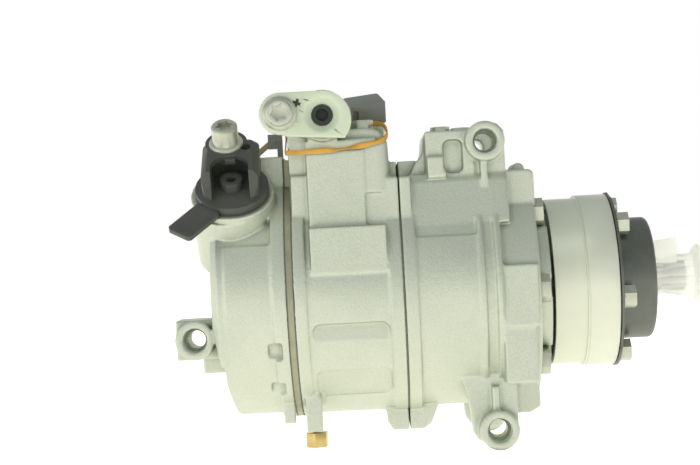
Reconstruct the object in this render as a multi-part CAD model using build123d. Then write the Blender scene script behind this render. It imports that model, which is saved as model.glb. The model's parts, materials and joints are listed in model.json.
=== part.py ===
"""Variable displacement swash plate compressor for a vehicle air conditioner, driven by a splined shaft.

Row frame, millimetres: +X runs along the shaft towards the engine's drive, +Z is up, and the origin is on
the shaft's axis at the drive hub's front face, where the engine's drive sleeve seats. An azimuth is an
angle round the shaft: 0 points along -Y and 90 points up. Every sub-part is written as parts/NODE.step.
"""

from build123d import *
from math import cos, pi, radians, sin, sqrt
import os

# ---- driving dimensions -------------------------------------------------------------------------
LUG_X = -83.7  # plane of the two front mounting bolts; the stations below are counted from it
REAR_X = LUG_X - 137.0  # rear face of the rear housing
HEAD_X = LUG_X - 100.0  # joint face of the rear housing
BLOCK_X = LUG_X - 96.5  # rear face of the cylinder block
CASE_X = LUG_X - 43.5  # joint between cylinder block and front housing
STEP_X = LUG_X + 23.0  # front face of the front housing
NOSE_X = LUG_X + 30.0  # end of the front housing's nose
DRUM_X = LUG_X + 31.3  # rear rim of the damper drum
DRUM_END_X = LUG_X + 63.0  # front rim of the damper drum
PLATE_END_X = LUG_X + 64.8  # front face of the drive plate
HUB_FACE_X = 0.0  # front face of the drive hub

BODY_R = 61.0  # cylinder block
CASE_R = 60.0  # front and rear housings
FLANGE_R = 62.3  # joint flanges
NOSE_R = 42.2
DRUM_R = 43.8
PLATE_R = 44.6
HUB_R = 31.0

CYLINDERS = 7
PITCH_R = 38.0  # cylinder bores' circle
BORE_R = 14.5
DISCHARGE_PORTS = (1.9, 26.2)  # each port's radius and its circle's, in the valve plate
SUCTION_PORTS = (3.4, 37.5)
BOLT_CIRCLE_R = 47.5  # through bolts' circle
BOLT_R = 3.2
BOLT_HOLE_R = BOLT_R + 0.4
FIRST_BOLT = -1.5  # azimuth of one through bolt, degrees
SHORT_BOLTS = (2, 5)  # the bolts whose heads sit deep in the shoulders, counted from that one
SHORT_BY = 9.0  # how much deeper those heads sit
SHAFT_R = 8.0
CHAMBER_R = 54.0  # crank chamber
GASKET_T = 0.5

LUG_TOP_Z = 72.2  # heights of the front lug bores
LUG_LOW_Z = -69.3
LUG_HALF_W = 50.0  # the lugs' outer faces, each side of the shaft
LUG_INNER = 28.0  # the lugs' inner faces
LUG_R = 9.7
WEB_RECESS = 7.5  # how far the lugs' webs lie behind the faces of their bosses
MOUNT_R = 4.4  # clearance bore for an M8 bolt
COUNTERBORE_R = 5.8
COUNTERBORE_L = 10.0
REAR_LUG = (LUG_X - 146.5, -17.8)  # x and z of the rear lug's bore

PORT_AZIMUTH = 51.0  # discharge port
PORT_X = LUG_X - 124.7
PORT_FACE_R = 68.5  # its face, from the shaft's axis
SUCTION = (LUG_X - 78.4, 88.4)  # x and z of the suction port
SUCTION_BOLT = (LUG_X - 98.6, 89.9)
PAD_Y = -54.0  # face of the suction port's pad
TOWER_Y = (-46.0, 26.0)
TOWER_FACE_Y = -52.4  # raised face down the tower's front
RIDGE_Y = -20.0  # back of the tower's taller ridge
RUNNING = 0.05  # gap between parts that turn against each other
SLIDE = 0.03  # gap between parts that slide in each other
STEP_ANGLE = 360.0 / CYLINDERS


# ---- small helpers ------------------------------------------------------------------------------
def cyl_x(r, x0, x1, y=0.0, z=0.0):
    """Cylinder along X from x0 to x1."""
    return Pos((x0 + x1) / 2, y, z) * Rot(0, 90, 0) * Cylinder(r, abs(x1 - x0))


def cyl_y(r, y0, y1, x, z):
    """Cylinder along Y from y0 to y1."""
    return Pos(x, (y0 + y1) / 2, z) * Rot(90, 0, 0) * Cylinder(r, abs(y1 - y0))


def cyl_z(r, z0, z1, x, y):
    """Cylinder along Z from z0 to z1."""
    return Pos(x, y, (z0 + z1) / 2) * Cylinder(r, abs(z1 - z0))


def tube_x(r_out, r_in, x0, x1):
    """Ring about the shaft's axis."""
    return cyl_x(r_out, x0, x1) - cyl_x(r_in, x0 - 1, x1 + 1)


def block(x0, x1, y0, y1, z0, z1):
    """Box between two corners."""
    return Pos((x0 + x1) / 2, (y0 + y1) / 2, (z0 + z1) / 2) * Box(x1 - x0, y1 - y0, z1 - z0)


def prism_y(points, y0, y1):
    """Polygon of (x, z) points, extruded along Y from y0 to y1."""
    plane = Plane(origin=(0, y1, 0), x_dir=(1, 0, 0), z_dir=(0, -1, 0))
    return extrude(plane * make_face(Polyline(*points, close=True)), y1 - y0)


def prism_x(points, x0, x1):
    """Polygon of (y, z) points, extruded along X from x0 to x1."""
    plane = Plane(origin=(x0, 0, 0), x_dir=(0, 1, 0), z_dir=(1, 0, 0))
    return extrude(plane * make_face(Polyline(*points, close=True)), x1 - x0)


def rounded_y(x0, x1, z0, z1, corner, y0, y1):
    """Rectangle with round corners in x and z, extruded along Y."""
    plane = Plane(origin=((x0 + x1) / 2, y1, (z0 + z1) / 2), x_dir=(1, 0, 0), z_dir=(0, -1, 0))
    return extrude(plane * RectangleRounded(x1 - x0, z1 - z0, corner), y1 - y0)


def hex_prism(flats, height):
    """Hexagonal prism on the XY plane, standing along +Z."""
    return extrude(RegularPolygon(flats / sqrt(3), 6), height)


def star_prism(r_out, r_in, height):
    """Six-lobed star, for a socket recess, along +Z."""
    points = []
    for i in range(12):
        r = r_out if i % 2 == 0 else r_in
        points.append((r * cos(pi * i / 6), r * sin(pi * i / 6)))
    return extrude(make_face(Polyline(*points, close=True)), height)


def around(shape, azimuth):
    """Turns a shape modelled at azimuth 0, on the -Y side, to an azimuth round the shaft."""
    return Rot(-azimuth, 0, 0) * shape


def spread(make, count=CYLINDERS, first=0.0):
    """List of copies round the shaft, from a shape modelled at azimuth 0."""
    return [around(make, first + 360.0 / count * i) for i in range(count)]


def fuse(shapes):
    """One shape from many that overlap or touch."""
    whole = shapes[0]
    for shape in shapes[1:]:
        whole = whole + shape
    return whole


def write(name, shape):
    """Writes one sub-part's STEP file. A list becomes separate solids in one node."""
    if isinstance(shape, list):
        shape = Compound(children=[s for part in shape for s in part.solids()])
    export_step(shape, f"parts/{name}.step")


def snowman_y(big, big_r, small, small_r, y0, y1):
    """Two round lobes and the web between their upper and lower tangents, extruded along Y."""
    lobes = cyl_y(big_r, y0, y1, *big) + cyl_y(small_r, y0, y1, *small)
    web = [
        (big[0], big[1] + big_r * 0.985),
        (small[0], small[1] + small_r),
        (small[0], small[1] - small_r),
        (big[0], big[1] - big_r),
    ]
    return lobes + prism_y(web, y0, y1)


PORT_PLANE = Plane(
    origin=(
        PORT_X,
        -PORT_FACE_R * cos(radians(PORT_AZIMUTH)),
        PORT_FACE_R * sin(radians(PORT_AZIMUTH)),
    ),
    x_dir=(1, 0, 0),
    z_dir=(0, -cos(radians(PORT_AZIMUTH)), sin(radians(PORT_AZIMUTH))),
)  # on the discharge port's face; its z points out of the port and its y up along the face
PORT_BOLT = (-2.1, 16.7)  # the discharge cap's bolt, in that plane
SUCTION_PLANE = Plane(origin=(SUCTION[0], PAD_Y, SUCTION[1]), x_dir=(1, 0, 0), z_dir=(0, -1, 0))
SUCTION_BOLT_PLANE = Plane(
    origin=(SUCTION_BOLT[0], PAD_Y, SUCTION_BOLT[1]), x_dir=(1, 0, 0), z_dir=(0, -1, 0)
)


# ---- castings -----------------------------------------------------------------------------------
def lug_ears(web, z, rib_z):
    """Both ears of a front lug: a round boss, a recessed web of (x, z) points, and a thin rib to rib_z."""
    ears = []
    for sign in (-1, 1):
        outer, inner, face = sign * LUG_HALF_W, sign * LUG_INNER, sign * (LUG_HALF_W - WEB_RECESS)
        ridge = sign * (LUG_HALF_W - 3.5)
        ears.append(cyl_y(LUG_R, min(outer, inner), max(outer, inner), LUG_X, z))
        ears.append(prism_y(web, min(face, inner), max(face, inner)))
        rib_y = (min(ridge, inner), max(ridge, inner))
        ears.append(block(LUG_X - 2.7, LUG_X + 0.7, *rib_y, min(rib_z, z), max(rib_z, z)))
    return fuse(ears)


def upper_lug():
    """Ears above the shaft: the web runs straight up the front side and round the top."""
    z = LUG_TOP_Z
    web = [(LUG_X - 8.0, 54.0), (LUG_X + 9.8, 54.0), (LUG_X + 9.8, z + 5.0), (LUG_X + 6.6, z + 8.6)]
    return lug_ears(web + [(LUG_X, z + LUG_R), (LUG_X - 6.0, z)], z, 50.0)


def lower_lug():
    """Ears below the shaft: the web comes straight down both sides, further out at the rear."""
    z = LUG_LOW_Z
    web = [(LUG_X + 9.8, -42.0), (LUG_X - 17.5, -42.0), (LUG_X - 15.5, -50.0), (LUG_X - 13.2, -60.0)]
    web += [(LUG_X - 12.4, z - 1.5), (LUG_X - 10.2, z - 4.6), (LUG_X - 3.0, z - 9.3), (LUG_X + 9.8, z)]
    return lug_ears(web, z, -48.0)


def lug_bores(x, z):
    """Cutter for a lug pair: clearance bore right through, counterbored on the -Y face."""
    through = cyl_y(MOUNT_R, -LUG_HALF_W - 5, LUG_HALF_W + 5, x, z)
    return through + cyl_y(COUNTERBORE_R, -LUG_HALF_W - 5, -LUG_HALF_W + COUNTERBORE_L, x, z)


def foot(x0, x1):
    """Half of the lobe under the joint between block and front housing."""
    points = [
        (LUG_X - 55.5, -52.0),
        (LUG_X - 54.3, -66.0),
        (LUG_X - 51.5, -70.3),
        (LUG_X - 36.0, -70.3),
        (LUG_X - 32.0, -67.5),
        (LUG_X - 28.0, -58.0),
        (LUG_X - 28.0, -52.0),
    ]
    return prism_y(points, -17, 17) & block(x0, x1, -20, 20, -80, -40)


def saddle(x0, x1):
    """Half of the raised lobe on top of the same joint."""
    return block(x0, x1, -26, 26, 48, 65.2)


def flank_panel(x0, x1):
    """Slightly raised panel on the -Y flank, ending in a step at the top and fading out below."""
    return cyl_x(CASE_R, x0, x1, y=-1.1, z=0.5) & block(x0, x1, -70, -20, -58, 27.0)


def front_housing():
    """Casting with the crank chamber, the nose and both front lugs."""
    body = cyl_x(CASE_R, CASE_X, LUG_X + 5)
    body += cyl_x(57.0, LUG_X + 5, STEP_X)
    body += cyl_x(NOSE_R, STEP_X, NOSE_X)
    body += cyl_x(FLANGE_R, CASE_X, CASE_X + 7)
    body += foot(CASE_X, LUG_X) + saddle(CASE_X, LUG_X - 34)
    for x in (LUG_X - 6.5, LUG_X + 1.5):  # the two thin ribs that run round between the lugs
        body += cyl_x(CASE_R + 1.6, x, x + 2.6)
    body += upper_lug() + lower_lug()
    # upper block beside the lug, with its ledge and its web
    body += block(LUG_X - 29, LUG_X - 5.6, -43, 30, 44, 78.5)
    body += block(LUG_X - 28.6, LUG_X - 19.5, -46, -40, 55.5, 66.0)
    root = [(LUG_X - 37, 58), (LUG_X - 34, 64.2), (LUG_X - 31.4, 66.4), (LUG_X - 30.2, 70.0)]
    body += prism_y(root + [(LUG_X - 29.6, 76.0), (LUG_X - 28, 76.0), (LUG_X - 28, 58)], -34, 26)
    body += cyl_z(5.5, 76, 81.2, LUG_X - 9.4, -12)
    # shoulder flats above the chamber, and the lower corner pad
    flats = [(-50.8, 32.0), (-45.4, 53.5), (-41.5, 57.5), (34.0, 57.5), (50.8, 32.0)]
    body += prism_x(flats, LUG_X - 38, LUG_X + 10)
    shoulder = block(LUG_X + 4, STEP_X + 0.6, -40, 34, 40, 57.6)
    body += fillet(shoulder.faces().sort_by(Axis.Z)[-1].edges().sort_by(Axis.X)[-1:], 3.0)
    body += block(CASE_X, LUG_X - 37.5, -50.4, -30, 14.0, 56.8)
    body += cyl_y(3.2, -20, 6, LUG_X + 18.0, 58.4)
    corner_pad = [(LUG_X + 4, -40), (STEP_X - 1, -40), (STEP_X - 0.6, -60.5)]
    body += prism_y(corner_pad + [(LUG_X + 17, -63.5), (LUG_X + 4, -63.5)], -30, 30)
    # raised panels on the flanks, and the pads round the bolts
    for side in (0.0, 180.0):
        body += around(block(LUG_X + 4, STEP_X - 1.5, -58.7, -40, -18.5, 11.5), side)
        body += around(block(LUG_X + 4, STEP_X - 3.5, -57.6, -40, -46.0, -18.0), side)
        body += around(flank_panel(CASE_X + 7, LUG_X - 6), side)
    # pocket in the upper block, lug bores
    body -= rounded_y(LUG_X - 20.4, LUG_X - 10.8, 57.5, 74.0, 3.2, -48, -38.5)
    body -= lug_bores(LUG_X, LUG_TOP_Z) + lug_bores(LUG_X, LUG_LOW_Z)
    # crank chamber, front wall and seal seat
    body -= cyl_x(CHAMBER_R, CASE_X - 1, LUG_X + 7)
    body -= cyl_x(24.0, LUG_X + 6, LUG_X + 10.5)
    body -= cyl_x(12.0, LUG_X + 10, LUG_X + 22)
    body -= cyl_x(SHAFT_R + 1.0, LUG_X + 20, NOSE_X + 1)
    body -= cyl_x(15.0, LUG_X + 21.0, NOSE_X + 1)
    body -= tube_x(16.2, 14.0, NOSE_X - 2.6, NOSE_X - 1.4)
    for cut in spread(cyl_x(BOLT_HOLE_R, CASE_X - 1, NOSE_X, y=-BOLT_CIRCLE_R), first=FIRST_BOLT):
        body -= cut
    for i, seat in enumerate(spread(cyl_x(7.3, STEP_X, NOSE_X + 1, y=-BOLT_CIRCLE_R), first=FIRST_BOLT)):
        body -= seat
        if i in SHORT_BOLTS:
            body -= Pos(-SHORT_BY, 0, 0) * seat
    body -= cyl_z(3.4, 60, 82, LUG_X - 20, -12)
    # inner bosses that carry the through bolts past the chamber
    boss = cyl_x(5.6, CASE_X, LUG_X + 8, y=-BOLT_CIRCLE_R - 3.6) & cyl_x(CASE_R - 1, CASE_X, LUG_X + 8)
    boss -= cyl_x(BOLT_HOLE_R, CASE_X - 1, NOSE_X, y=-BOLT_CIRCLE_R)
    body = fuse([body] + spread(boss, first=FIRST_BOLT))
    return body - block(CASE_X - 1, CASE_X + GASKET_T, -80, 80, -90, 90)


def tower():
    """Upright of the cylinder block, with a taller ridge in front that carries the suction port's pad."""
    x0, x1 = LUG_X - 96.5, LUG_X - 47.5
    foot_z, top_z, ridge_z = 40.0, 81.6, 96.0
    body = prism_y(
        [
            (x0, foot_z),
            (x0, top_z - 3.0),
            (x0 + 3.0, top_z),
            (x1 - 9.0, top_z),
            (x1 - 4.2, top_z - 1.4),
            (x1 - 1.2, top_z - 4.6),
            (x1, 72.0),
            (x1 + 0.8, foot_z),
        ],
        *TOWER_Y,
    )
    front_y, corner_r = -51.6, 5.6
    body += block(x0 + 9.0, x1 - corner_r, front_y, TOWER_Y[0] + 1, 50.0, 76.5)
    body += cyl_z(corner_r, 50.0, 74.5, x1 - corner_r, front_y + corner_r)
    ridge = [(x0, top_z - 8.0), (x0, 84.0), (x0 + 4.5, ridge_z), (x1 - 24.0, ridge_z)]
    body += prism_y(ridge + [(x1 - 18.9, top_z), (x1 - 18.9, top_z - 8.0)], TOWER_Y[0], RIDGE_Y)
    body += snowman_y(SUCTION, 12.5, SUCTION_BOLT, 9.0, PAD_Y, TOWER_Y[0] + 8)
    return body


CONTROL_PLANE = Plane(
    origin=(LUG_X - 59.5, 0.0, 81.6), x_dir=(1, 0, 0), z_dir=(0, -sin(radians(25)), cos(radians(25)))
)  # seat of the control valve in the tower; its z points out
CONTROL_R = 9.0
RELIEF = (LUG_X - 89.8, -34.0)  # x and y of the relief valve's axis
RELIEF_SEAT_Z = -67.3


def cylinder_block():
    """Casting with the seven bores, the tower, and the relief valve's stub."""
    body = cyl_x(BODY_R, BLOCK_X, CASE_X)
    body += cyl_x(FLANGE_R, BLOCK_X, BLOCK_X + 6) + cyl_x(FLANGE_R, CASE_X - 6.5, CASE_X)
    body += foot(LUG_X - 60, CASE_X) + saddle(LUG_X - 51, CASE_X)
    body += tower()
    # stepped front of the tower, running down the flank
    body += block(LUG_X - 87.5, LUG_X - 59.6, TOWER_FACE_Y, -30, 32.2, 71.5)
    body += block(LUG_X - 87.5, LUG_X - 50.5, -60.6, -30, 11.6, 34.0)
    body += block(LUG_X - 59.7, CASE_X, -50.5, -30, 30.0, 57.0)
    body += block(LUG_X - 96.0, LUG_X - 88.5, -48, -30, 10, 60)
    # relief valve stub
    body += block(LUG_X - 94.4, LUG_X - 86.6, RELIEF[1] - 4.5, RELIEF[1] + 4.5, RELIEF_SEAT_Z, -40)
    # shallow pockets with round corners, low on each flank
    for side in (1, -1):
        y0, y1 = (-70, -57.2) if side > 0 else (57.2, 70)
        body -= rounded_y(LUG_X - 88.5, LUG_X - 51.0, -27.7, -12.6, 4, y0, y1)
    pocket = rounded_y(LUG_X - 88.0, LUG_X - 51.0, -9.5, 9.5, 4.5, -70, -59.4)
    body -= around(pocket, -45.0)
    body -= around(pocket, -135.0)
    body -= around(pocket, 168.0)
    # working bores
    for bore in spread(cyl_x(BORE_R, BLOCK_X - 1, CASE_X + 1, y=-PITCH_R), first=FIRST_BOLT + STEP_ANGLE / 2):
        body -= bore
    for bore in spread(cyl_x(BOLT_HOLE_R, BLOCK_X - 1, CASE_X + 1, y=-BOLT_CIRCLE_R), first=FIRST_BOLT):
        body -= bore
    body -= cyl_x(SHAFT_R + 1, BLOCK_X - 1, CASE_X + 1)
    body -= cyl_x(12.0, LUG_X - 84.0, LUG_X - 64.0)
    body -= cyl_x(12.0, LUG_X - 66.0, CASE_X + 1)
    # suction port, its clamp bolt's hole and the passage behind it
    body -= cyl_y(8.5, PAD_Y - 1, RIDGE_Y - 6, *SUCTION)
    body -= cyl_y(4.0, PAD_Y - 1, -32, *SUCTION_BOLT)
    body -= cyl_z(6.0, 60, SUCTION[1], SUCTION[0], RIDGE_Y - 12)
    # seats of the control valve, the passage plug and the relief valve
    body -= CONTROL_PLANE * Pos(0, 0, -13.9) * Cylinder(CONTROL_R + 0.1, 27.9)
    body -= CONTROL_PLANE * Pos(0, 0, 6.0) * Cylinder(13.0, 12.0)
    body -= cyl_z(4.1, 70, 83, LUG_X - 59.2, -27)
    body -= cyl_z(3.1, RELIEF_SEAT_Z - 1, -48, *RELIEF)
    return body


def rear_lug():
    """Rear mounting lug: a boss and the arm that joins it to the rear face."""
    x, z = REAR_LUG
    arm = block(x - 9.4, REAR_X + 6, -46, -24, z - 9.8, z + 9.8)
    low = block(x + 1.0, REAR_X + 8, -24, 8, z - 18.5, z - 6)
    boss = cyl_y(LUG_R, -LUG_HALF_W, -22, x, z)
    return arm + low + boss


def rear_housing():
    """Casting that closes the cylinder head: two gas chambers, the discharge port and the rear lug."""
    body = cyl_x(CASE_R, REAR_X, HEAD_X)
    body = chamfer(body.faces().sort_by(Axis.X)[0].edges(), 3.4)
    body += cyl_x(FLANGE_R, HEAD_X - 7, HEAD_X)
    # domed saddle on top and the round boss of the discharge port
    body += block(REAR_X + 3, HEAD_X, -28, 30, 44, 70.8)
    boss = PORT_PLANE * Pos(0, 0, -13) * Cylinder(20.6, 26)
    body += boss
    body += PORT_PLANE * Pos(PORT_BOLT[0], PORT_BOLT[1] - 1.0, -11) * Cylinder(11.0, 22)
    body += PORT_PLANE * Pos(-1.5, -3.0, -20) * Cylinder(18.6, 34)
    body += flank_panel(REAR_X + 7, LUG_X - 108)
    # the rear face leans in towards the bottom
    body -= prism_y([(REAR_X - 2, -14), (REAR_X, -14), (REAR_X + 8.5, -64), (REAR_X - 2, -64)], -70, 70)
    body += block(LUG_X - 105.5, HEAD_X, -34, -26, -62.4, -50)
    body += rear_lug()
    for azimuth in (-24.0, -46.0, 204.0, 226.0):
        body -= around(cyl_x(5.2, LUG_X - 110.5, LUG_X - 103.5, y=-63.6), azimuth)
    body -= around(cyl_z(7.0, -8, 8, REAR_X - 1.5, -56), -40.0)
    body -= lug_bores(REAR_LUG[0], REAR_LUG[1])
    # gas chambers, bolt holes, discharge port
    body -= cyl_x(29.0, HEAD_X - 24, HEAD_X + 1)
    body -= tube_x(42.5, 32.0, HEAD_X - 22, HEAD_X + 1)
    for hole in spread(cyl_x(BOLT_R, HEAD_X - 20, HEAD_X + 1, y=-BOLT_CIRCLE_R), first=FIRST_BOLT):
        body -= hole
    body -= PORT_PLANE * Pos(0, 0, -14) * Cylinder(7.5, 29)
    body -= PORT_PLANE * Pos(PORT_BOLT[0], PORT_BOLT[1], 1) * Cylinder(4.0, 39)
    return body


# ---- cylinder head plates -----------------------------------------------------------------------
def head_disc(x0, x1, holes):
    """Thin plate between block and rear housing, with bolt holes and one hole set per cylinder."""
    plate = cyl_x(FLANGE_R - 0.1, x0, x1) + block(x0, x1, -28, 30, 44, 68.8)
    for cut in spread(cyl_x(BOLT_HOLE_R, x0 - 1, x1 + 1, y=-BOLT_CIRCLE_R), first=FIRST_BOLT):
        plate -= cut
    for r_hole, r_place in holes:
        hole = cyl_x(r_hole, x0 - 1, x1 + 1, y=-r_place)
        for cut in spread(hole, first=FIRST_BOLT + STEP_ANGLE / 2):
            plate -= cut
    return plate


def discharge_reed(x0, x1):
    """Star-shaped spring-steel leaf with one tongue over each discharge port."""
    leaf = cyl_x(14.0, x0, x1)
    reach = DISCHARGE_PORTS[1]
    for arm in spread(block(x0, x1, -reach, 0, -2.6, 2.6), first=FIRST_BOLT + STEP_ANGLE / 2):
        leaf += arm
    for tip in spread(cyl_x(2.6, x0, x1, y=-reach), first=FIRST_BOLT + STEP_ANGLE / 2):
        leaf += tip
    return leaf - cyl_x(3.0, x0 - 1, x1 + 1)


def suction_reed(x0, x1):
    """One suction tongue at azimuth 0, inside the bore."""
    return block(x0, x1, -PITCH_R - 8, -PITCH_R + 13, -4.2, 4.2)


def ring_gasket(x0, x1):
    """Sealing ring between block and front housing, with the bolt holes in it."""
    ring = tube_x(FLANGE_R - 0.4, CHAMBER_R + 0.5, x0, x1)
    for cut in spread(cyl_x(BOLT_R + 6.0, x0 - 1, x1 + 1, y=-BOLT_CIRCLE_R), first=FIRST_BOLT):
        ring -= cut
    return ring


# ---- pistons and running gear -------------------------------------------------------------------
SWASH_X = LUG_X - 24.0  # middle of the swash plate
SWASH_T = 8.0
SWASH_R = 43.8
SHOE_R = 6.5


def piston():
    """One piston at azimuth 0: grooved crown end, neck, and the bridge that holds both shoes."""
    crown_x = BLOCK_X + 0.6
    skirt = cyl_x(BORE_R - SLIDE, crown_x, LUG_X - 58, y=-PITCH_R)
    skirt -= tube_x_at(BORE_R + 1, BORE_R - 1.0, crown_x + 3, crown_x + 4.6, -PITCH_R)
    neck = block(LUG_X - 59, SWASH_X - 15.5, -PITCH_R - 9.5, -PITCH_R + 7, -7.5, 7.5)
    bridge = block(SWASH_X - 16, SWASH_X + 16, -PITCH_R - 14.0, -PITCH_R + 7, -7.5, 7.5)
    bridge &= cyl_x(CHAMBER_R - 0.8, SWASH_X - 20, LUG_X)
    half_gap = SWASH_T / 2 + 3.5
    bridge -= block(SWASH_X - half_gap, SWASH_X + half_gap, -SWASH_R - 1.0, 0, -9, 9)
    for sign in (1, -1):
        centre = SWASH_X + sign * (SWASH_T / 2 + RUNNING)
        bridge -= Pos(centre, -PITCH_R, 0) * Rot(0, 90, 0) * Sphere(SHOE_R + SLIDE)
    return skirt + neck + bridge


def tube_x_at(r_out, r_in, x0, x1, y):
    """Ring along X about a line at y."""
    return cyl_x(r_out, x0, x1, y=y) - cyl_x(r_in, x0 - 1, x1 + 1, y=y)


def shoes():
    """The two half balls that one piston rides on."""
    halves = []
    for sign in (1, -1):
        flat = SWASH_X + sign * (SWASH_T / 2 + RUNNING)
        slice_x = flat + sign * (SHOE_R - 1) / 2
        slab = Pos(slice_x, -PITCH_R, 0) * Box(SHOE_R - 1, 4 * SHOE_R, 4 * SHOE_R)
        ball = Pos(flat, -PITCH_R, 0) * Rot(0, 90, 0) * Sphere(SHOE_R)
        halves.append(ball & slab)
    return halves


def shaft():
    """Shaft from the rear journal to the thread in front of the damper."""
    return cyl_x(SHAFT_R, LUG_X - 86, DRUM_END_X - 2) - cyl_x(2.0, LUG_X - 87, LUG_X - 74)


HINGE = (LUG_X - 11.5, 19.5)  # x and y of the pin between rotor and swash plate


def hinge_pin(r):
    """Pin along Z through the rotor's arms and the swash plate's ear."""
    return cyl_z(r, -9.7, 9.7, *HINGE)


def lug_plate():
    """Rotor fixed on the shaft, with the two arms that steer the swash plate."""
    body = cyl_x(33.0, LUG_X - 6.0, LUG_X + 2.0) + cyl_x(15.0, LUG_X - 11.0, LUG_X - 5.0)
    for z in (-7.5, 7.5):
        body += block(LUG_X - 15.5, LUG_X - 5, 14, 25, z - 2.2, z + 2.2)
    body += block(LUG_X - 10, LUG_X - 5, -29.5, -18, -7, 7)
    return body - cyl_x(SHAFT_R, LUG_X - 20, LUG_X + 4) - hinge_pin(2.2)


def swash_plate():
    """Swash plate at its least tilt, square to the shaft, with the ear between the rotor's arms."""
    x0, x1 = SWASH_X - SWASH_T / 2, SWASH_X + SWASH_T / 2
    body = cyl_x(SWASH_R, x0, x1) + cyl_x(20.0, x0 - 3.0, x1 + 2.0)
    body += block(x1, LUG_X - 7.5, 15.3, 24, -4.8, 4.8)
    return body - cyl_x(SHAFT_R + SLIDE, x0 - 6, x1 + 6) - hinge_pin(2.2)


def coil(length, r_mid, r_wire, turns):
    """Spring along +Z from the origin: separate round turns joined by a thin bar, as one solid."""
    rings = []
    for i in range(turns):
        z = r_wire + (length - 2 * r_wire) * i / (turns - 1)
        rings.append(Pos(0, 0, z) * Torus(r_mid, r_wire))
    bar = Rot(0, 0, 17) * Pos(r_mid, 0, length / 2) * Cylinder(r_wire * 0.6, length - 2 * r_wire)
    return fuse(rings + [bar])


def needle_ring(x0, x1, r_out, r_in, count):
    """Needle bearing: outer shell and rollers, as separate solids."""
    r_roller = 1.25
    shell = tube_x(r_out, r_in + 2 * r_roller + 2 * SLIDE, x0, x1)
    roller = cyl_x(r_roller, x0 + 0.8, x1 - 0.8, y=-(r_in + r_roller + SLIDE))
    return [shell] + spread(roller, count)


def thrust_bearing(x0, x1, r_out, r_in, count):
    """Thrust bearing's fixed race and rollers; the rotor's face is the other race."""
    race = tube_x(r_out, r_in, x0 + 2.6, x1)
    roller = Pos(x0 + 1.3, 0, 0) * (
        Pos(0, -(r_out + r_in) / 2, 0) * Rot(90, 0, 0) * Cylinder(1.25, (r_out - r_in) - 2.0)
    )
    return [race] + spread(roller, count)


# ---- drive coupling -----------------------------------------------------------------------------
def damper_drum():
    """Open steel drum in two steps, with a web at its front."""
    groove_x = LUG_X + 47.0
    body = cyl_x(DRUM_R - 1.3, DRUM_X, groove_x) + cyl_x(DRUM_R, groove_x, DRUM_END_X)
    body -= cyl_x(DRUM_R - 5.0, DRUM_X - 1, DRUM_END_X - 6)
    body -= cyl_x(24.0, DRUM_X - 1, DRUM_END_X + 1)
    body -= tube_x(DRUM_R + 1, DRUM_R - 0.5, groove_x + 0.6, groove_x + 1.3)
    for hole in spread(cyl_x(2.5, DRUM_END_X - 8, DRUM_END_X + 1, y=-38.0), 6, PLATE_BOLT_1):
        body -= hole
    return body


PLATE_BOLT_1 = -12.0  # azimuth of one drive plate bolt, degrees


def drive_plate():
    """Steel plate bolted to the drum, with a flat at each bolt space and a central spigot hole."""
    body = cyl_x(PLATE_R, DRUM_END_X + 0.5, PLATE_END_X)
    body += tube_x(41.0, 24.0, DRUM_END_X, DRUM_END_X + 1.0)
    trims = spread(block(DRUM_END_X - 1, PLATE_END_X + 1, -50, -PLATE_R + 0.7, -6, 6), 6, PLATE_BOLT_1 + 30)
    for trim in trims:
        body -= trim
    body -= cyl_x(14.0, DRUM_END_X - 1, PLATE_END_X + 1)
    for hole in spread(cyl_x(3.1, DRUM_END_X - 1, PLATE_END_X + 1, y=-38.0), 6, PLATE_BOLT_1):
        body -= hole
    return body


def plate_bolt():
    """M6 hexagon screw at azimuth 0, through the drive plate into the drum."""
    head = Pos(PLATE_END_X, -38.0, 0) * Rot(0, 90, 0) * hex_prism(10.0, 6.2)
    collar = cyl_x(5.6, PLATE_END_X, PLATE_END_X + 1.0, y=-38.0)
    return head + collar + cyl_x(2.5, DRUM_END_X - 7, PLATE_END_X + 1, y=-38.0)


def drive_hub():
    """Dark cup in front of the plate, with a rounded front edge and an inner sleeve."""
    body = cyl_x(HUB_R, PLATE_END_X, HUB_FACE_X)
    body = fillet(body.faces().sort_by(Axis.X)[-1].edges(), 2.4)
    body -= tube_x(HUB_R - 4.0, 13.9, PLATE_END_X + 4, HUB_FACE_X - 6)
    body += cyl_x(14.0, DRUM_END_X + 0.5, HUB_FACE_X - 6)
    body -= tube_x(22.0, 17.5, HUB_FACE_X - 1.2, HUB_FACE_X + 1)
    return body - cyl_x(SHAFT_R - 1.5, DRUM_END_X, HUB_FACE_X + 1)


def rubber_ring():
    """Rubber that carries the torque from the drum to the shaft's sleeve."""
    return tube_x(DRUM_R - 5.0, 16.6, DRUM_X + 9, DRUM_END_X - 9)


def inner_flange():
    """Steel sleeve on the shaft, bonded to the rubber's bore."""
    return tube_x(16.6, SHAFT_R, DRUM_X + 9, DRUM_END_X - 9)


def shaft_nut():
    """Hexagon nut that holds the damper on the shaft."""
    return Pos(DRUM_END_X - 9, 0, 0) * Rot(0, 90, 0) * hex_prism(21.0, 6.5) - cyl_x(
        SHAFT_R, DRUM_X, DRUM_END_X
    )


SPLINE_R = 7.2
SPLINE_TEETH = 11


def spline_shaft():
    """Stub that the engine's sleeve drives: eleven teeth, a neck and a chamfered end."""
    end = HUB_FACE_X + 19.0
    body = cyl_x(SPLINE_R, HUB_FACE_X - 18, end)
    body = chamfer(body.faces().sort_by(Axis.X)[-1].edges(), 1.0)
    body &= cyl_x(SHAFT_R - 1.5, HUB_FACE_X - 18, HUB_FACE_X) + cyl_x(9, HUB_FACE_X, end)
    gap = block(HUB_FACE_X + 4.0, end + 1, -SPLINE_R - 1, -SPLINE_R + 1.3, -0.95, 0.95)
    for cut in spread(gap, SPLINE_TEETH):
        body -= cut
    return body


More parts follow.
